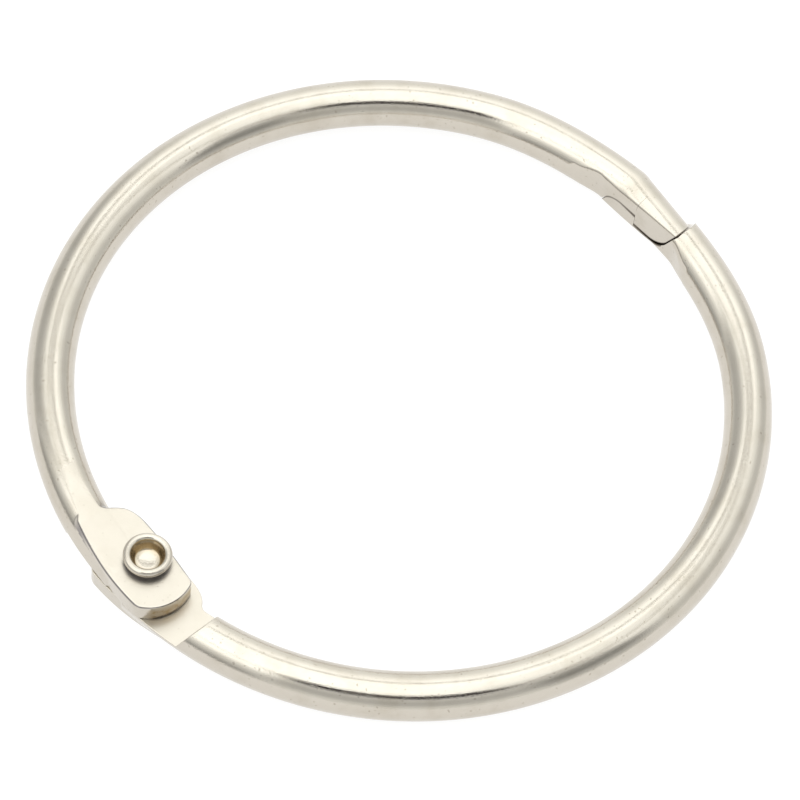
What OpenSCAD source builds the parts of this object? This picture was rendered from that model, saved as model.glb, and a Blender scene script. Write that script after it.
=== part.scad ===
// Hinged book ring, closed.
// Two half-ring wire arms, alike but for the height of the seam between
// their noses, turn on one hollow rivet.
// The arms' free ends lock at the far side with two hooked noses.
// Frame: ring centre at the origin, ring axis along Z, hinge at -X, clasp at +X.
// The arms part on the plane z = 0, where the two coined eyes face each other.

/* [Ring] */
// Inside diameter of the closed ring, mm
inner_d = 50; // [30:1:80]
// Wire diameter, mm
wire_d = 3.7; // [3.1:0.05:5]

/* [Hinge eyes] */
// Depth that each eye's outer face is pressed below the wire's crown, mm
coin_depth = 0.2; // [0.1:0.05:0.4]
// How far the eye bulges past the wire on the inside of the ring, mm
eye_in = 1.55; // [1.2:0.05:2.2]
// How far the eye bulges past the wire on the outside of the ring, mm
eye_out = 0.05; // [0:0.05:1]
// Curvature radius of the eye's inner side, mm
eye_in_r = 40; // [10:1:60]
// Curvature radius of the eye's outer side, mm
eye_out_r = 20; // [10:0.5:30]
// Radius of the eye's end, mm
eye_r = 4.9; // [4.5:0.1:6]
// Distance from the rivet's axis to the eye's end, mm
eye_end = 3.95; // [3.4:0.05:4.8]
// Rounding of the eye's side and end edges, mm
eye_edge = 0.2; // [0.1:0.05:0.6]
// Gap between one eye's end and the other arm's shoulder, mm
step_gap = 2.3; // [1.5:0.1:4]
// Run of the sloping shoulder over half the wire's thickness, mm
step_run = 0.75; // [0.3:0.05:1.5]
// Length over which the coined flat fades into the round wire, mm
fade_len = 4; // [3:0.1:6]
// Clearance between the two eyes' facing flats, mm
eye_gap = 0.06; // [0.02:0.01:0.12]

/* [Rivet] */
// How far the rivet's axis lies inside the wire's centre-line, mm
rivet_inset = 1.35; // [1:0.05:1.6]
// Shank diameter, mm
shank_d = 2.9; // [2.4:0.05:3]
// Radial clearance of the shank in the turning arm, mm
run_gap = 0.05; // [0.02:0.01:0.09]
// Diameter of the factory head, mm
head_d = 4.2; // [3.6:0.1:4.4]
// Height of the factory head, mm
head_h = 0.5; // [0.3:0.05:0.8]
// Height of the rolled lip above the eye's face, mm
lip_h = 0.95; // [0.7:0.05:1.3]
// Height of the plain neck between the eye's face and the rolled lip, mm
neck_h = 0.2; // [0.1:0.05:0.3]
// Outside diameter of the rolled lip, mm
lip_d = 3.7; // [3.5:0.1:4.2]
// Wall of the rolled lip, mm
lip_wall = 0.54; // [0.3:0.02:0.6]
// Depth of the hollow below the lip's rim, mm
hollow_depth = 1.25; // [0.8:0.05:2]
// Diameter of the hollow's floor, mm
hollow_d = 1.7; // [1:0.1:1.9]

/* [Clasp] */
// Half the height of the hooked tooth, mm
hook_h = 0.55; // [0.3:0.05:0.7]
// Straight length of the tooth behind the hook face, mm
nose_flat = 1.5; // [1:0.1:2.5]
// Curvature radius under the nose, mm
nose_r = 2.2; // [1.6:0.1:2.6]
// Angle at which the nose runs out, degrees
nose_a = 65; // [50:1:70]
// How far the middle of the seam lies below the wire's middle, mm
seam_drop = 0.45; // [0:0.05:0.6]
// Clearance in the seam between the two noses, mm
seam_gap = 0.06; // [0.02:0.01:0.12]
// How far the nose's inner flat stands inside the ring's bore at the clasp's middle, mm
flat_in = 0; // [-0.1:0.05:0.3]
// Angle at which that flat deepens towards the nose's tip, degrees
flat_lean = 1.7; // [0:0.1:3]
// Distance from the clasp's middle to the bend where the straight nose starts, mm
nose_len = 4.5; // [4.3:0.1:6]
// Angle between the straight nose and the line across the clasp, degrees
nose_lean = 5.8; // [4:0.1:7]

/* [View] */
// Piece to draw

/* [Hidden] */
$fn = 96;
wire_r = wire_d / 2;
ring_r = inner_d / 2 + wire_r;
rivet_x = -(ring_r - rivet_inset);
eye_t = wire_r - coin_depth;
step_y = eye_end + step_gap;
fade_y = step_y - step_run;
shank_r = shank_d / 2;
half_eye_gap = eye_gap / 2;
half_seam = seam_gap / 2;
flat_x = inner_d / 2 - flat_in;
nose_tip = nose_flat + nose_r * sin(nose_a)
    + (wire_r + hook_h - nose_r * (1 - cos(nose_a))) / tan(nose_a);
bend_x = sqrt(ring_r * ring_r - nose_len * nose_len) - 0.04;
past = 4 * wire_d;
nickel = [0.80, 0.77, 0.72];
nickel_dark = [0.70, 0.66, 0.60];

// Outline of a nose in the plane of the wire's length and height.
// s moves the curve off its mean line: inwards below zero, outwards above it.
function nose(s) = concat(
    [[-(nose_flat + (nose_r + s) * sin(nose_a)) - past * cos(nose_a),
      nose_r - hook_h - (nose_r + s) * cos(nose_a) + past * sin(nose_a)]],
    [for (i = [0 : 8])
        let (a = nose_a * (1 - i / 8))
        [-nose_flat - (nose_r + s) * sin(a), nose_r - hook_h - (nose_r + s) * cos(a)]]
);

// Profile of a disc from z0 to z1 whose upper edge is rounded by e.
function disc_profile(r, z0, z1, e) = concat(
    [[0, z0], [r, z0]],
    [for (i = [0 : 4])
        let (a = 22.5 * i)
        [r - e + e * cos(a), z1 - e + e * sin(a)]],
    [[0, z1]]
);

// Carries an outline drawn as [along the wire at the clasp or hinge, height]
// across the whole width of the ring's section from x0 to x1.
module across(x0, x1) {
    translate([x0, 0, 0])
        rotate([90, 0, 90])
            linear_extrude(x1 - x0)
                children();
}

// Round wire: the half ring, then the straight nose that leans in from the bend.
module wire() {
    a = asin((nose_len - 0.2) / ring_r);
    rotate_extrude(start = a, angle = 180 - a)
        translate([ring_r, 0])
            circle(wire_r);
    translate([bend_x, nose_len, 0])
        rotate([90, 0, -nose_lean])
            cylinder(h = nose_len + nose_tip + 1, r = wire_r - 0.01);
}

// The other arm's nose and the free space beyond this arm's own nose.
module clasp_cut() {
    own = nose(-half_seam);
    other = nose(half_seam);
    across(ring_r - 2 * wire_d, ring_r + 2 * wire_d)
        polygon(concat(
            [[-past, -past], [-past, past]],
            own,
            [[-half_seam, -hook_h + half_seam], [-half_seam, hook_h + half_seam]],
            [for (i = [len(other) - 1 : -1 : 0]) -other[i]]
        ));
}

// Ground flat on the nose's inner side.
module inner_flat_cut() {
    translate([flat_x, 0, 0])
        rotate([0, 0, flat_lean])
            translate([-wire_d, -nose_tip - 1, -wire_d])
                cube([wire_d, nose_tip + 1 + nose_len, 2 * wire_d]);
}

// Coined eye: three discs with rounded edges bound its end and its two sides.
module eye() {
    in_x = -(ring_r - wire_r - eye_in);
    out_x = -(ring_r + wire_r + eye_out);
    z0 = half_eye_gap;
    intersection() {
        translate([rivet_x - 0.5, eye_r - eye_end, 0])
            rotate_extrude()
                polygon(disc_profile(eye_r, z0, eye_t, eye_edge));
        translate([in_x - eye_in_r, 4, 0])
            rotate_extrude()
                polygon(disc_profile(eye_in_r, z0, eye_t, eye_edge));
        translate([out_x + eye_out_r, -1.5, 0])
            rotate_extrude()
                polygon(disc_profile(eye_out_r, z0, eye_t, eye_edge));
    }
}

// Room for the other arm's eye, up to the sloping shoulder.
module step_cut() {
    slope = step_run / wire_r;
    across(-ring_r - 2 * wire_d, -ring_r / 2)
        polygon([
            [-past, half_eye_gap],
            [step_y - slope * half_eye_gap, half_eye_gap],
            [step_y + slope * wire_d, -wire_d],
            [-past, -wire_d]
        ]);
}

// Coined flat on the eye's outer face, running out along the wire.
module coin_cut() {
    across(-ring_r - 2 * wire_d, -ring_r / 2)
        polygon([
            [-past, eye_t],
            [fade_y, eye_t],
            [fade_y + fade_len * (wire_d / coin_depth), wire_r - coin_depth + wire_d],
            [-past, wire_r - coin_depth + wire_d]
        ]);
}

// One arm as it lies on the far side of the ring, with its eye on top.
// lift moves the seam between the noses up from the wire's middle.
module arm(bore_r, lift) {
    difference() {
        union() {
            difference() {
                wire();
                coin_cut();
            }
            eye();
        }
        step_cut();
        translate([0, 0, lift])
            clasp_cut();
        inner_flat_cut();
        translate([rivet_x, 0, -wire_d])
            cylinder(h = 2 * wire_d, r = bore_r);
    }
}

module upper_arm() {
    color(nickel)
        arm(shank_r + run_gap, -seam_drop);
}

module lower_arm() {
    color(nickel)
        rotate([180, 0, 0])
            arm(shank_r, seam_drop);
}

// Hollow rivet: low pan head below, rolled lip above.
module rivet() {
    e = 0.2;
    lip_r = lip_wall / 2;
    mid_r = lip_d / 2 - lip_r;
    rim_z = eye_t + lip_h;
    color(nickel_dark)
        translate([rivet_x, 0, 0])
            rotate_extrude()
                polygon(concat(
                    [[0, -eye_t - head_h],
                     [head_d / 2 - e, -eye_t - head_h],
                     [head_d / 2 - 0.3 * e, -eye_t - head_h + 0.3 * e],
                     [head_d / 2, -eye_t - head_h + e],
                     [head_d / 2, -eye_t],
                     [shank_r, -eye_t],
                     [shank_r, eye_t + neck_h]],
                    [for (i = [0 : 9])
                        let (a = -30 + 22 * i)
                        [mid_r + lip_r * cos(a), rim_z - lip_r + lip_r * sin(a)]],
                    [[hollow_d / 2, rim_z - hollow_depth],
                     [0, rim_z - hollow_depth]]
                ));
}

upper_arm();
lower_arm();
rivet();
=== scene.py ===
import math

import bmesh
import bpy
import numpy as np
from mathutils import Matrix, Vector


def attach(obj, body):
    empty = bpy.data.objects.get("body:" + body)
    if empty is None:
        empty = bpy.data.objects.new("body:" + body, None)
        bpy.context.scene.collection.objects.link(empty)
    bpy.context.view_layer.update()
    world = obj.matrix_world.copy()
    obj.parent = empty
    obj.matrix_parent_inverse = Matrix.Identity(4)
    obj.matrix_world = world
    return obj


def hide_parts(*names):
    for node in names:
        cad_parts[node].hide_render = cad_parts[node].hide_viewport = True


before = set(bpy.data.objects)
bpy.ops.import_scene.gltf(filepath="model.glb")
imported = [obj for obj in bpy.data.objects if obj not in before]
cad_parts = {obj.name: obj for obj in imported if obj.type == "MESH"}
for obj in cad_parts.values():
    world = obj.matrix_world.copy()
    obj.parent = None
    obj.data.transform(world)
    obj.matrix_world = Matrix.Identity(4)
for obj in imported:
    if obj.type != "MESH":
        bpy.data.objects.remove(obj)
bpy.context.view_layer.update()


# ---------------------------------------------------------------- upper arm
# Half ring of round steel wire, bright nickel plated. One end is pressed flat
# into an eye for the rivet, and the other is a straight nose with a hooked
# tooth. Both ends are struck in a press, so their corners are slightly soft.

mm = 0.001
wire_radius = 1.85
ring_radius = 26.85

# nose: straight from nose_start on, with the seam between the noses under it
nose_start = 2.0
nose_start_x = 26.41
nose_slope = math.tan(math.radians(8.0))
nose_bend = 0.9
nose_flat_x = 25.0
nose_flat_slope = math.tan(math.radians(1.7))
nose_flat_end = 4.0
nose_flat_fade = 2.6
nose_corner = 0.22
clasp_tuck = 0.33
tuck_start = 15.0
tuck_length = 10.5
seam_gap = 0.03
seam_drop = 0.45
tooth_height = 0.55
tooth_length = 1.5
nose_curve = 2.2
nose_angle = math.radians(65)

# eye: a round end, a shallow curve on each side and a neck towards the wire,
# each given by the centre and radius of its arc
rivet_x = -25.5
end_centre = (-25.87, -0.45)
end_radius = 3.54
inner_centre = (-63.45, 4.0)
inner_radius = 40.0
outer_centre = (-8.75, -1.5)
outer_radius = 20.0
neck_centre = (-27.2, 1.2)
neck_radius = 4.5
neck_stretch = 0.93
neck_corner = 0.6
eye_height = 1.65
eye_edge = 0.13
eye_edge_gain = 0.10
eye_gap = 0.03
step_front = 6.25
step_back = 7.0
fade_start = 5.5
fade_end = 9.5

# where the sections of the nose and of the eye hand over to the plain wire
nose_handover = 6.4
eye_handover = 10.4


def soft_corner(a, b, radius):
    """Keeps what is inside both a and b, with a rounded outer corner."""
    return np.minimum(-radius, np.maximum(a, b)) + np.hypot(
        np.maximum(a + radius, 0), np.maximum(b + radius, 0)
    )


def soft_join(a, b, radius):
    """Joins a and b with a rounded inner corner."""
    return np.maximum(radius, np.minimum(a, b)) - np.hypot(
        np.maximum(radius - a, 0), np.maximum(radius - b, 0)
    )


def ease(t):
    """Goes smoothly from 0 to 1 while t does."""
    t = np.clip(t, 0, 1)
    return t * t * (3 - 2 * t)


def under_nose(y, curve):
    """Height of the line under a nose that points towards -y."""
    centre = nose_curve - tooth_height
    swing = curve * math.sin(nose_angle)
    past_tooth = -y - tooth_length
    reach = np.clip(past_tooth, 0, swing)
    arc = centre - np.sqrt(np.maximum(curve**2 - reach**2, 1e-6))
    line = np.maximum(past_tooth - swing, 0) * math.tan(nose_angle)
    return arc + line


def seam_floor(y, lift):
    """Lowest height of the arm above the seam between the two noses."""
    own = under_nose(y, nose_curve - seam_gap)
    other = -under_nose(-y, nose_curve + seam_gap)
    return np.where(y < 0, own, other) + lift


def wire_core(x, y, z):
    """Distance to the wire's skin: the half ring, then the straight nose."""
    tuck = clasp_tuck * np.where(x > 0, ease((tuck_start - y) / tuck_length), 0)
    ring = np.hypot(np.hypot(x, y) - ring_radius + tuck, z) - wire_radius
    axis = nose_start_x - nose_slope * (nose_start - y)
    nose = np.hypot((x - axis) * math.cos(math.atan(nose_slope)), z) - wire_radius
    share = ease((y - nose_start + nose_bend) / (2 * nose_bend))
    return np.where(x > 0, ring * share + nose * (1 - share), ring)


def arm_shape(x, y, z, lift):
    """Below zero inside the arm, above zero outside, in millimetres."""
    shape = wire_core(x, y, z)

    # eye: its outline, its flat top, and its join with the wire past the rivet
    to_end = np.minimum(y - end_centre[1], 0)
    end = np.hypot(x - end_centre[0], to_end) - end_radius
    to_neck = np.maximum(y - neck_centre[1], 0) * neck_stretch
    neck = np.hypot(x - neck_centre[0], to_neck) - neck_radius
    inner = np.hypot(x - inner_centre[0], y - inner_centre[1]) - inner_radius
    inner = soft_corner(inner, neck, neck_corner)
    outer = np.hypot(x - outer_centre[0], y - outer_centre[1]) - outer_radius
    side = soft_corner(soft_corner(end, inner, 0.25), outer, 0.2)
    crown = z - eye_height
    edge = eye_edge + eye_edge_gain * ease((y + 3.6) / 1.5)
    eye = soft_corner(side, crown, edge)
    at_eye = soft_join(np.maximum(shape, 1.0 - y), eye, 0.30)
    coin = eye_height + np.maximum(y - fade_start, 0) * (
        (wire_radius - eye_height) / (fade_end - fade_start)
    )
    at_eye = soft_corner(at_eye, z - coin, 0.04)

    # under the eye: the flat that faces the other eye, up to the sloping step
    lean = (y - step_front) / (step_back - step_front)
    low = eye_gap - np.clip(lean, 0, 4) * wire_radius
    step_lie = 0.375
    at_eye = soft_corner(at_eye, (low - z) * np.where(lean > 0, step_lie, 1.0), 0.05)

    # nose: flat ground on the inside, and the hooked seam underneath
    run_out = 0.75 * ease((y - nose_flat_end) / nose_flat_fade)
    flat = nose_flat_x - nose_flat_slope * y - run_out
    at_nose = soft_corner(shape, flat - x, nose_corner)
    floor_z = seam_floor(y, lift)
    past_tooth = np.abs(y) - tooth_length
    rise = np.clip(past_tooth / nose_curve, 0, math.sin(nose_angle))
    at_nose = soft_corner(at_nose, (floor_z - z) * np.sqrt(1 - rise**2), 0.05)

    beside_clasp = np.where(y < nose_handover + 0.1, at_nose, shape)
    return np.where(x > 0, beside_clasp, at_eye)


def spread(*stretches):
    """Joins stretches given as (from, to, step) into one list of stations."""
    out = []
    for start, stop, step in stretches:
        count = max(int(round(abs(stop - start) / step)), 1)
        out += list(np.linspace(start, stop, count, endpoint=False))
    return np.array(out + [stretches[-1][1]])


def arm_stations(lift):
    """Centre, sideways direction and travel of each section along the arm."""
    rows = []
    tip = -4.03 + lift / math.tan(nose_angle)
    for y in spread(
        (tip, tip + 0.12, 0.012),
        (tip + 0.12, -3.2, 0.05),
        (-3.2, -0.1, 0.11),
        (-0.1, 0.1, 0.02),
        (0.1, 4.0, 0.11),
        (4.0, nose_handover, 0.1),
    ):
        axis = nose_start_x - nose_slope * (nose_start - y)
        ring = math.sqrt(ring_radius**2 - y * y)
        share = float(ease((y - 3.95) / 1.1))
        floor_z = float(seam_floor(np.array(y), lift))
        floor_z = min(max(floor_z, -wire_radius), wire_radius)
        height = max(1.2, (floor_z + wire_radius) / 2)
        if y > 4.3:
            height = 1.2 * (1 - float(ease((y - 4.3) / 2.1)))
        turn = math.radians(13.8) * float(ease((y - 4.4) / 2.0))
        rows.append((ring * share + axis * (1 - share), y, height, turn))
    first = math.degrees(math.asin(nose_handover / ring_radius))
    last = 180 - math.degrees(math.asin(eye_handover / ring_radius))
    for angle in spread((first + 1.0, last - 1.0, 0.85)):
        a = math.radians(angle)
        rows.append((ring_radius * math.cos(a), ring_radius * math.sin(a), 0, a))
    for y in spread(
        (eye_handover, 7.3, 0.13),
        (7.3, 6.1, 0.035),
        (6.1, -3.2, 0.11),
        (-3.2, -3.88, 0.03),
        (-3.88, -3.989, 0.009),
    ):
        ring = -math.sqrt(ring_radius**2 - y * y)
        share = float(ease((y - 5.0) / 3.0))
        height = 0.85 * (1 - float(ease((y - 7.3) / 2.8)))
        swing = math.asin(eye_handover / ring_radius) * float(ease((y - 7.0) / 3.4))
        turn = math.pi - swing
        rows.append((ring * share - 26.0 * (1 - share), y, height, turn))
    rows = np.array(rows)
    step = np.r_[0, np.linalg.norm(np.diff(rows[:, :2], axis=0), axis=1)]
    return rows, np.cumsum(step)


def arm_outlines(points_round, lift):
    """Sections of the arm, found by walking out from each centre to the skin."""
    rows, travel = arm_stations(lift)
    fine = 640
    alpha = np.linspace(0, 2 * math.pi, fine, endpoint=False)
    across = np.cos(alpha)[None, :]
    up = np.sin(alpha)[None, :]
    cx, cy, cz, turn = (rows[:, i][:, None] for i in range(4))
    near = np.zeros((len(rows), fine))
    far = np.full((len(rows), fine), 4.6)
    for _ in range(24):
        mid = (near + far) / 2
        inside = (
            arm_shape(
                cx + mid * across * np.cos(turn),
                cy + mid * across * np.sin(turn),
                cz + mid * up,
                lift,
            )
            < 0
        )
        near = np.where(inside, mid, near)
        far = np.where(inside, far, mid)
    side = near * across
    rise = near * up
    outline = np.empty((len(rows), points_round, 2))
    around = np.empty((len(rows), points_round))
    for i in range(len(rows)):
        p = np.c_[np.r_[side[i], side[i, 0]], np.r_[rise[i], rise[i, 0]]]
        edge = np.diff(p, axis=0)
        length = np.hypot(edge[:, 0], edge[:, 1])
        head = np.unwrap(np.arctan2(edge[:, 1], edge[:, 0]))
        bend = np.abs(np.diff(np.r_[head, head[0] + 2 * math.pi]))
        weight = np.r_[0, np.cumsum(length + 0.30 * np.minimum(bend, 0.6) + 1e-6)]
        pick = np.linspace(0, weight[-1], points_round, endpoint=False)
        outline[i, :, 0] = np.interp(pick, weight, p[:, 0])
        outline[i, :, 1] = np.interp(pick, weight, p[:, 1])
        around[i] = np.interp(pick, weight, np.r_[0, np.cumsum(length)])
    places = np.stack(
        [
            cx + outline[:, :, 0] * np.cos(turn),
            cy + outline[:, :, 0] * np.sin(turn),
            cz + outline[:, :, 1],
        ],
        axis=-1,
    )
    return rows, travel, places, around


def arm_normals(places, lift):
    """Directions in which the skin faces, from the slope of the shape."""
    h = 0.004
    x, y, z = places[..., 0], places[..., 1], places[..., 2]
    n = np.stack(
        [
            arm_shape(x + h, y, z, lift) - arm_shape(x - h, y, z, lift),
            arm_shape(x, y + h, z, lift) - arm_shape(x, y - h, z, lift),
            arm_shape(x, y, z + h, lift) - arm_shape(x, y, z - h, lift),
        ],
        axis=-1,
    )
    return n / np.maximum(np.linalg.norm(n, axis=-1, keepdims=True), 1e-9)


def formed_wire(name, lift):
    """The arm before its hole is punched, as a tube through its sections."""
    points_round = 132
    rows, travel, places, around = arm_outlines(points_round, lift)
    count = len(rows)
    bm = bmesh.new()
    layer = bm.loops.layers.uv.new("wire")
    ring_verts = [[bm.verts.new(p * mm) for p in section] for section in places]
    for i in range(count - 1):
        for j in range(points_round):
            k = (j + 1) % points_round
            corners = (
                ring_verts[i][j],
                ring_verts[i][k],
                ring_verts[i + 1][k],
                ring_verts[i + 1][j],
            )
            face = bm.faces.new(corners)
            here, ahead = around[i], around[i + 1]
            values = (
                (travel[i], here[j]),
                (travel[i], here[k] if k else here[j] * 2 - here[j - 1]),
                (travel[i + 1], ahead[k] if k else ahead[j] * 2 - ahead[j - 1]),
                (travel[i + 1], ahead[j]),
            )
            for loop, value in zip(face.loops, values):
                loop[layer].uv = (value[0] * 0.1, value[1] * 0.1)
    for i, centre in ((0, rows[0]), (count - 1, rows[-1])):
        middle = bm.verts.new(Vector(centre[:3]) * mm)
        for j in range(points_round):
            k = (j + 1) % points_round
            corners = (middle, ring_verts[i][k], ring_verts[i][j])
            face = bm.faces.new(corners if i == 0 else corners[::-1])
            for loop in face.loops:
                loop[layer].uv = (travel[i] * 0.1, around[i, j] * 0.1)
    bmesh.ops.recalc_face_normals(bm, faces=bm.faces)
    mesh = bpy.data.meshes.new(name)
    bm.to_mesh(mesh)
    bm.free()
    arm = bpy.data.objects.new(name, mesh)
    bpy.context.scene.collection.objects.link(arm)
    return arm


def punch_eye(arm, bore_radius):
    """Cuts the rivet's hole through the eye."""
    bm = bmesh.new()
    bmesh.ops.create_cone(
        bm,
        cap_ends=True,
        segments=96,
        radius1=bore_radius * mm,
        radius2=bore_radius * mm,
        depth=8 * mm,
        matrix=Matrix.Translation((rivet_x * mm, 0, 0)),
    )
    punch_mesh = bpy.data.meshes.new("punch")
    bm.to_mesh(punch_mesh)
    bm.free()
    punch = bpy.data.objects.new("punch", punch_mesh)
    bpy.context.scene.collection.objects.link(punch)
    cut = arm.modifiers.new("rivet_hole", "BOOLEAN")
    cut.operation = "DIFFERENCE"
    cut.solver = "EXACT"
    cut.object = punch
    evaluated = arm.evaluated_get(bpy.context.evaluated_depsgraph_get())
    holed = bpy.data.meshes.new_from_object(evaluated)
    arm.modifiers.clear()
    arm.data = holed
    arm.data.name = arm.name
    bpy.data.objects.remove(punch)


def smooth_skin(mesh, skin):
    """Takes normals from the shape itself, and flat ones on the hole's wall."""
    index = np.empty(len(mesh.loops), int)
    mesh.loops.foreach_get("vertex_index", index)
    face_of = np.empty(len(mesh.loops), int)
    flat = np.empty(len(mesh.polygons) * 3)
    mesh.polygons.foreach_get("normal", flat)
    flat = flat.reshape(-1, 3)
    start = np.empty(len(mesh.polygons), int)
    total = np.empty(len(mesh.polygons), int)
    mesh.polygons.foreach_get("loop_start", start)
    mesh.polygons.foreach_get("loop_total", total)
    for i, (s, t) in enumerate(zip(start, total)):
        face_of[s : s + t] = i
    own = skin[index]
    plain = flat[face_of]
    agree = (own * plain).sum(1) > 0.6
    normals = np.where(agree[:, None], own, plain)
    for polygon in mesh.polygons:
        polygon.use_smooth = True
    mesh.normals_split_custom_set(normals.tolist())


def mark_plating_and_shade(mesh, co, tilt, lift):
    """Marks the press's flats, a gold stain, and where shade and shadow are painted."""
    x, y, z = co.T
    eye_side = (x < -20) & (y < 10)
    pressed = eye_side & (z > 1.2)
    paint = {
        "coined": pressed * ease((tilt - 0.90) / 0.08)
        + eye_side * (y < 7.2) * ease((-tilt - 0.7) / 0.2),
        # painted shade: a dark grey band on the eye's rounded top edge, set by how
        # steep the skin is
        "edge": pressed
        * ease((tilt - 0.20) / 0.25)
        * ease((0.97 - tilt) / 0.12)
        * ease((6.6 - y) / 1.5),
        # gold stain with painted shade on the eye's end wall, below its top
        "crevice": (x < -20) * ease((-3.0 - y) / 0.5) * ease((1.55 - z) / 0.7),
        # painted shadow in the gap between the two eyes, at their end
        "contact": (x < -20) * ease((-3.2 - y) / 0.4) * ease((0.42 - z) / 0.25),
        # painted shadow along the seam between the two noses
        "seam": (x > 20)
        * (y < 3.2)
        * ease((27.3 - x) / 0.5)
        * ease((0.16 - np.abs(seam_floor(y, lift) + 0.04 - z)) / 0.1),
    }
    for layer_name, values in paint.items():
        layer = mesh.attributes.new(layer_name, "FLOAT", "POINT")
        layer.data.foreach_set("value", np.asarray(values, float))


def build_arm(name, bore_radius, lift, flipped):
    """One arm, with its seam raised by lift, and turned over if flipped."""
    arm = formed_wire(name, lift)
    punch_eye(arm, bore_radius)
    mesh = arm.data
    co = np.empty(len(mesh.vertices) * 3)
    mesh.vertices.foreach_get("co", co)
    co = co.reshape(-1, 3) / mm
    skin = arm_normals(co, lift)
    smooth_skin(mesh, skin)
    mark_plating_and_shade(mesh, co, skin[:, 2], lift)
    if flipped:
        mesh.transform(Matrix.Rotation(math.pi, 4, "X"))
    return arm


class Shade:
    """A socket that Python's own arithmetic can be used on."""

    def __init__(self, finish, socket):
        self.finish = finish
        self.socket = socket

    def _math(self, operation, a, b=0.0):
        return self.finish.add("ShaderNodeMath", {"operation": operation}, {0: a, 1: b})

    def __add__(self, other):
        return self._math("ADD", self, other)

    def __radd__(self, other):
        return self._math("ADD", other, self)

    def __sub__(self, other):
        return self._math("SUBTRACT", self, other)

    def __rsub__(self, other):
        return self._math("SUBTRACT", other, self)

    def __mul__(self, other):
        return self._math("MULTIPLY", self, other)

    def __rmul__(self, other):
        return self._math("MULTIPLY", other, self)

    def __truediv__(self, other):
        return self._math("DIVIDE", self, other)

    def __rtruediv__(self, other):
        return self._math("DIVIDE", other, self)


class Finish:
    """Adds nodes to one node tree."""

    def __init__(self, tree):
        self.tree = tree
        tree.nodes.clear()

    def add(self, kind, settings=None, sockets=None, out=0):
        """A node of this type, with its settings, then its sockets' values."""
        node = self.tree.nodes.new(kind)
        for key, value in (settings or {}).items():
            if key == "stops":
                ramp = node.color_ramp
                ramp.interpolation = "LINEAR"
                while len(ramp.elements) < len(value):
                    ramp.elements.new(0.5)
                for stop, (place, colour) in zip(ramp.elements, value):
                    stop.position = place
                    stop.color = (*colour, 1)
            else:
                setattr(node, key, value)
        for key, value in (sockets or {}).items():
            if isinstance(value, Shade):
                self.tree.links.new(value.socket, node.inputs[key])
            else:
                node.inputs[key].default_value = value
        return Shade(self, node.outputs[out]) if len(node.outputs) else node

    def span(self, value, low, high, start=0.0, stop=1.0):
        """Goes smoothly from start to stop while value goes from low to high."""
        return self.add(
            "ShaderNodeMapRange",
            {"interpolation_type": "SMOOTHSTEP", "clamp": True},
            {
                "Value": value,
                "From Min": low,
                "From Max": high,
                "To Min": start,
                "To Max": stop,
            },
        )

    def mix(self, share, a, b):
        """Colour a, with a share of colour b over it."""
        return self.add(
            "ShaderNodeMix",
            {"data_type": "RGBA"},
            {0: share, 6: a, 7: b},
            out=2,
        )

    def grain(self, place, scale, detail, rough, seed):
        """Cloudy noise from 0 to 1."""
        return self.add(
            "ShaderNodeTexNoise",
            {"noise_dimensions": "4D"},
            {
                "Vector": place,
                "W": seed,
                "Scale": scale,
                "Detail": detail,
                "Roughness": rough,
            },
        )


nickel_cream = (0.575, 0.532, 0.466, 1)
nickel_worn = (0.515, 0.470, 0.400, 1)
nickel_coined = (0.62, 0.575, 0.50, 1)
pit_brown = (0.20, 0.16, 0.11, 1)
# The next three colours are painted shade and shadow; the gold one is also a stain.
edge_shade_grey = (0.17, 0.16, 0.17, 1)
stain_and_shade_gold = (0.36, 0.255, 0.115, 1)
shadow_brown = (0.045, 0.028, 0.012, 1)
bump_depth = 0.000009


def nickel_base(f, place, seed, roughness):
    """Bright nickel over steel, with fine specks and small pits."""
    speck = f.grain(place, 8200.0, 1.0, 0.5, seed + 3)
    fine = f.grain(place, 17000.0, 1.0, 0.5, seed + 5)
    cloud = f.grain(place, 420.0, 3.0, 0.55, seed + 7)
    pits = f.span(f.grain(place, 4300.0, 0.0, 0.5, seed + 11), 0.73, 0.80)
    tint = f.mix(f.span(cloud, 0.40, 0.80), nickel_cream, nickel_worn)
    tint = f.mix(pits * 0.30, tint, pit_brown)
    rough = roughness + f.span(cloud, 0.35, 0.75) * 0.04
    height = speck * 0.55 + fine * 0.45 - pits * 0.6
    return tint, rough, height


def nickel_surface(f, tint, rough, height):
    """Puts the plating's colour, roughness and relief on the metal."""
    bump = f.add(
        "ShaderNodeBump",
        {},
        {"Strength": 0.7, "Distance": bump_depth, "Height": height},
    )
    surface = f.add(
        "ShaderNodeBsdfPrincipled",
        {},
        {"Base Color": tint, "Metallic": 1.0, "Roughness": rough, "Normal": bump},
    )
    f.add("ShaderNodeOutputMaterial", {}, {"Surface": surface})


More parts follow.
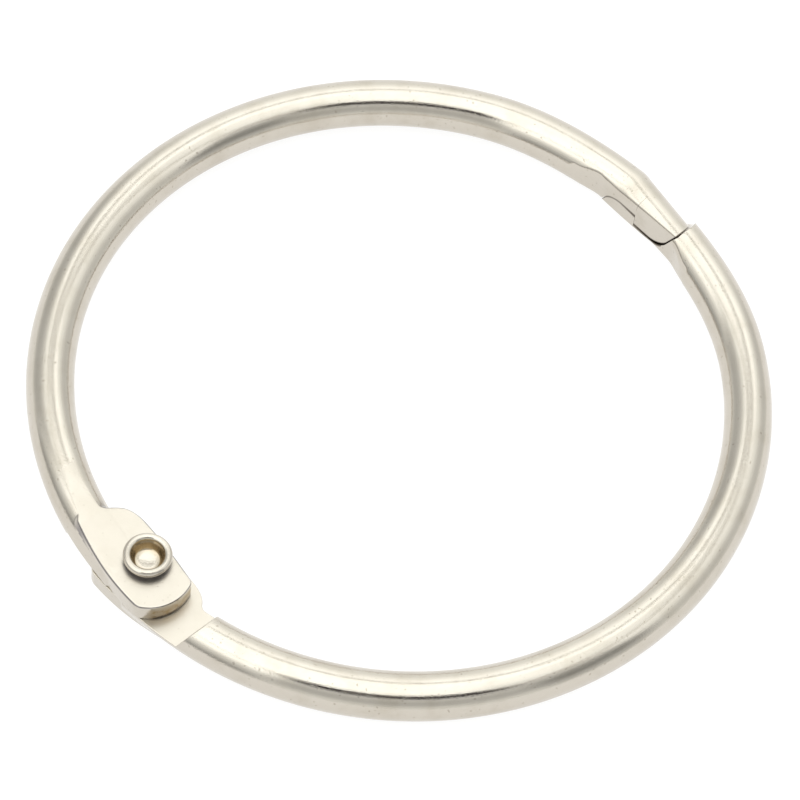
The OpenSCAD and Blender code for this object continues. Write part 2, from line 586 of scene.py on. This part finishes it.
def arm_nickel(name, seed):
    """Nickel with lines from wire drawing, the marks of the press, and painted shade.
    """
    material = bpy.data.materials.new(name)
    material.use_nodes = True
    f = Finish(material.node_tree)
    place = f.add("ShaderNodeTexCoord", out=3)
    tint, rough, height = nickel_base(f, place, seed, 0.10)
    marks = {
        key: f.add("ShaderNodeAttribute", {"attribute_name": key}, out=2)
        for key in ("coined", "edge", "crevice", "contact", "seam")
    }
    lines = f.add(
        "ShaderNodeVectorMath",
        {"operation": "MULTIPLY"},
        {0: f.add("ShaderNodeUVMap", {"uv_map": "wire"}), 1: (5.0, 150.0, 1.0)},
    )
    drawn = f.grain(lines, 1.0, 3.0, 0.6, seed)
    plain = 1 - marks["coined"]
    height = height + drawn * plain * 0.8
    patchy = f.span(f.grain(place, 2600.0, 2.0, 0.6, seed + 13), 0.35, 0.65)
    tint = f.mix(marks["coined"] * 0.5, tint, nickel_coined)
    # painted shade: dark grey on the eye's rounded top edge
    tint = f.mix(marks["edge"] * 0.75, tint, edge_shade_grey)
    # gold stain with painted shade on the eye's end wall
    tint = f.mix(marks["crevice"] * (0.45 + patchy * 0.5), tint, stain_and_shade_gold)
    # painted shadow between the two eyes
    tint = f.mix(marks["contact"] * (0.5 + patchy * 0.5), tint, shadow_brown)
    # painted shadow along the seam between the noses
    tint = f.mix(marks["seam"] * 0.8, tint, shadow_brown)
    rough = rough + marks["coined"] * 0.22 + marks["crevice"] * 0.12
    nickel_surface(f, tint, rough, height)
    return material


running_bore = 1.50
upper = build_arm("upper_arm_plated", running_bore, -seam_drop, False)
upper.data.materials.clear()
upper.data.materials.append(arm_nickel("bright_nickel_upper", 1.0))
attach(upper, "upper")
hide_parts("upper_arm")


# ---------------------------------------------------------------- lower arm
# Plated steel wire like the upper arm, turned half a turn about the line
# through hinge and clasp. Its smaller hole grips the rivet's shank.

shank_radius = 1.45
lower = build_arm("lower_arm_plated", shank_radius, seam_drop, True)
lower.data.materials.clear()
lower.data.materials.append(arm_nickel("bright_nickel_lower", 5.0))
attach(lower, "lower")
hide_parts("lower_arm")


# ---------------------------------------------------------------- rivet
# Hollow steel rivet, nickel plated. The head below is flat, and the open end
# above is rolled outwards over the upper eye.

head_radius = 2.1
head_low = -2.15
head_corner = 0.2
lip_top = 2.60
lip_outer = 1.85
lip_wall = 0.62
# Both colours are painted: shade in the hollow, shadow under the lip.
hollow_shade_gold = (0.42, 0.32, 0.17, 1)
lip_shadow = (0.03, 0.03, 0.05, 1)


def rivet_profile():
    """Half of the rivet's section, from the head's middle to the hollow's."""
    points = [(0.0, head_low), (head_radius - 0.35, head_low)]
    for i in range(1, 9):
        a = math.radians(-90 + 90 * i / 8)
        radius = head_radius - head_corner * (1 - math.cos(a))
        points.append((radius, head_low + head_corner * (1 + math.sin(a))))
    points += [
        (head_radius, -1.68),
        (head_radius - 0.02, -eye_height),
        (shank_radius, -eye_height),
        (shank_radius, eye_height + 0.12),
        (shank_radius + 0.02, eye_height + 0.2),
    ]
    lip = lip_wall / 2
    middle = lip_outer - lip
    for i in range(0, 25):
        a = math.radians(-38 + 218 * i / 24)
        points.append((middle + lip * math.cos(a), lip_top - lip + lip * math.sin(a)))
    points += [
        (1.21, lip_top - 0.50),
        (1.17, lip_top - 0.66),
        (1.10, lip_top - 0.82),
        (1.05, lip_top - 0.95),
        (0.99, lip_top - 1.06),
        (0.88, lip_top - 1.12),
        (0.55, lip_top - 1.16),
        (0.0, lip_top - 1.17),
    ]
    return points


def build_rivet():
    """Turns the section about the rivet's axis."""
    profile = rivet_profile()
    turns = 128
    bm = bmesh.new()
    rings = []
    for radius, z in profile:
        if radius == 0.0:
            rings.append([bm.verts.new((rivet_x * mm, 0, z * mm))])
            continue
        rings.append(
            [
                bm.verts.new(
                    (
                        (rivet_x + radius * math.cos(2 * math.pi * i / turns)) * mm,
                        radius * math.sin(2 * math.pi * i / turns) * mm,
                        z * mm,
                    )
                )
                for i in range(turns)
            ]
        )
    for a, b in zip(rings, rings[1:]):
        for i in range(turns):
            k = (i + 1) % turns
            corners = [a[i % len(a)], a[k % len(a)], b[k % len(b)], b[i % len(b)]]
            bm.faces.new(list(dict.fromkeys(corners)))
    bmesh.ops.recalc_face_normals(bm, faces=bm.faces)
    mesh = bpy.data.meshes.new("rivet_plated")
    bm.to_mesh(mesh)
    bm.free()
    for polygon in mesh.polygons:
        polygon.use_smooth = True
    mesh.set_sharp_from_angle(angle=math.radians(50))
    rivet = bpy.data.objects.new("rivet_plated", mesh)
    bpy.context.scene.collection.objects.link(rivet)
    return rivet


def rivet_nickel(name, seed):
    """Nickel with painted gold shade in the hollow and painted shadow under the lip."""
    material = bpy.data.materials.new(name)
    material.use_nodes = True
    f = Finish(material.node_tree)
    place = f.add("ShaderNodeTexCoord", out=3)
    tint, rough, height = nickel_base(f, place, seed, 0.12)
    rise = f.add("ShaderNodeSeparateXYZ", {}, {0: place}, out=2) / mm
    level = f.add(
        "ShaderNodeVectorMath", {"operation": "MULTIPLY"}, {0: place, 1: (1, 1, 0)}
    )
    across = f.add(
        "ShaderNodeVectorMath",
        {"operation": "DISTANCE"},
        {0: level, 1: (rivet_x * mm, 0, 0)},
        out=1,
    ) / mm
    hollow = f.span(across, 1.25, 1.35, 1.0, 0.0) * f.span(rise, 1.42, 1.52)
    neck = f.span(rise, 1.55, 1.60) * f.span(rise, 2.05, 2.22, 1.0, 0.0)
    # painted shade: darker gold inside the hollow
    tint = f.mix(hollow * 0.6, tint, hollow_shade_gold)
    # painted shadow: near black on the shank under the rolled lip
    tint = f.mix(f.span(across, 1.40, 1.50) * neck * 0.9, tint, lip_shadow)
    nickel_surface(f, tint, rough, height)
    return material


rivet = build_rivet()
rivet.data.materials.append(rivet_nickel("bright_nickel_rivet", 9.0))
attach(rivet, "lower")
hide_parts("rivet")


# ---------------------------------------------------------------- studio
# Plain pale floor under the ring, a soft bright tent above it with a dimmer
# side towards the viewer, and the camera.

floor_size = 4.0
floor_grey = (0.24, 0.24, 0.24, 1)
view_azimuth = math.radians(-49)
view_height = math.radians(57.54)
view_distance = 0.3233
view_roll = math.radians(-8.24)
front = Vector((math.sin(view_azimuth), -math.cos(view_azimuth), 0))
right = Vector((math.cos(view_azimuth), math.sin(view_azimuth), 0))
toward = front * math.cos(view_height) + Vector((0, 0, math.sin(view_height)))


def lay_floor():
    """A matt floor that glows a little, so that it stays white in the shade."""
    mesh = bpy.data.meshes.new("floor")
    bm = bmesh.new()
    bmesh.ops.create_grid(bm, x_segments=1, y_segments=1, size=floor_size)
    bm.to_mesh(mesh)
    bm.free()
    floor = bpy.data.objects.new("floor", mesh)
    floor.location = (0, 0, head_low * mm)
    bpy.context.scene.collection.objects.link(floor)
    paper = bpy.data.materials.new("lit_paper")
    paper.use_nodes = True
    f = Finish(paper.node_tree)
    surface = f.add(
        "ShaderNodeBsdfPrincipled",
        {},
        {
            "Base Color": floor_grey,
            "Roughness": 0.9,
            "Specular IOR Level": 0.0,
            "Emission Color": (1.0, 1.0, 1.0, 1),
            "Emission Strength": 0.86,
        },
    )
    f.add("ShaderNodeOutputMaterial", {}, {"Surface": surface})
    floor.data.materials.append(paper)
    return floor


floor = lay_floor()

# The tent's brightness at each height in degrees: first all round, then for
# single sides, each given by its direction, half its width and its softness.
all_round = (
    (0, 1.07), (11, 1.07), (21, 1.15), (31, 1.34), (41, 1.56),
    (52, 1.76), (57, 0.72), (60, 1.79), (90, 1.90),
)
tent_sides = (
    (112, 36, 10, (
        (0, 0.86), (14, 0.74), (26, 0.82), (38, 1.12),
        (50, 1.34), (58, 1.21), (68, 1.40), (84, 1.79),
    )),
    (-126, 26, 12, (
        (0, 0.87), (14, 0.60), (28, 0.63), (38, 0.76),
        (46, 1.04), (54, 1.54), (68, 1.76), (90, 1.84),
    )),
    (58, 17, 6, (
        (0, 0.76), (14, 0.57), (26, 0.32), (38, 0.43),
        (50, 0.79), (62, 1.27), (74, 1.51), (84, 1.79),
    )),
    (-62, 40, 5, (
        (0, 0.41), (8, 0.49), (20, 0.79), (32, 1.07),
        (38, 1.41), (44, 1.79), (60, 1.92), (90, 1.80),
    )),
    (12, 34, 4, (
        (0, 0.93), (8, 0.86), (18, 0.65), (30, 0.60), (40, 0.74),
        (50, 0.79), (61, 0.65), (65, 1.69), (80, 1.87),
    )),
)
tent_tint = (0.98, 1.0, 0.985)
front_band_navy = (0.02, 0.018, 0.03, 1)
pole_brown = (0.16, 0.12, 0.08, 1)


def tent_angles(f):
    """Height above the floor, and direction round the ring, in degrees."""
    direction = f.add("ShaderNodeTexCoord", out=0)
    parts = [
        f.add(
            "ShaderNodeVectorMath",
            {"operation": "DOT_PRODUCT"},
            {0: direction, 1: tuple(axis)},
            out=1,
        )
        for axis in (Vector((0, 0, 1)), front, right)
    ]
    up, to_front, to_right = parts
    height = f.add("ShaderNodeMath", {"operation": "ARCSINE"}, {0: up})
    turn = f.add("ShaderNodeMath", {"operation": "ARCTAN2"}, {0: to_right, 1: to_front})
    return height * (180 / math.pi), turn * (180 / math.pi)


def tent_panel(f, height, stops):
    """Brightness of one side of the tent, from the floor up to overhead."""
    colours = [(angle / 90, tuple(v * t for t in tent_tint)) for angle, v in stops]
    return f.add("ShaderNodeValToRGB", {"stops": colours}, {0: height / 90})


def tent_sector(f, turn, centre, half, soft):
    """1 inside a range of directions round the ring, 0 outside it."""
    off = f.add("ShaderNodeMath", {"operation": "ABSOLUTE"}, {0: turn - centre})
    away = f.add("ShaderNodeMath", {"operation": "PINGPONG"}, {0: off, 1: 180.0})
    return f.span(away, half - soft, half + soft, 1.0, 0.0)


def pitch_tent():
    """The lit tent, with a dark band in front and a thin pole all round."""
    world = bpy.data.worlds.new("soft_tent")
    bpy.context.scene.world = world
    world.use_nodes = True
    f = Finish(world.node_tree)
    height, turn = tent_angles(f)
    tone = tent_panel(f, height, all_round)
    for centre, half, soft, stops in tent_sides:
        side = tent_sector(f, turn, centre, half, soft)
        tone = f.mix(side, tone, tent_panel(f, height, stops))
    band = f.span(height, 47.5, 49.0) * f.span(height, 60.5, 62.0, 1.0, 0.0)
    tone = f.mix(tent_sector(f, turn, 12, 33, 4) * band, tone, front_band_navy)
    pole = f.span(height, 54.6, 55.6) * f.span(height, 56.4, 57.4, 1.0, 0.0)
    tone = f.mix(pole * 0.75, tone, pole_brown)
    backdrop = f.add("ShaderNodeBackground", {}, {"Color": tone, "Strength": 1.15})
    f.add("ShaderNodeOutputWorld", {}, {"Surface": backdrop})


def place_camera():
    """A long lens on the ring from the hinge's side."""
    data = bpy.data.cameras.new("camera")
    data.sensor_width = 36.0
    data.lens = 189.4725
    data.shift_x = -0.00125
    data.shift_y = -0.016875
    data.clip_start = 0.01
    data.clip_end = 20.0
    camera = bpy.data.objects.new("camera", data)
    bpy.context.scene.collection.objects.link(camera)
    bpy.context.scene.camera = camera
    upward = toward.cross(right)
    camera_right = right * math.cos(view_roll) - upward * math.sin(view_roll)
    camera_up = right * math.sin(view_roll) + upward * math.cos(view_roll)
    columns = (camera_right, camera_up, toward, toward * view_distance)
    rows = [tuple(column[i] for column in columns) for i in range(3)]
    camera.matrix_world = Matrix((*rows, (0, 0, 0, 1)))


pitch_tent()
place_camera()
bpy.context.scene.view_settings.view_transform = "Standard"

bpy.context.view_layer.update()
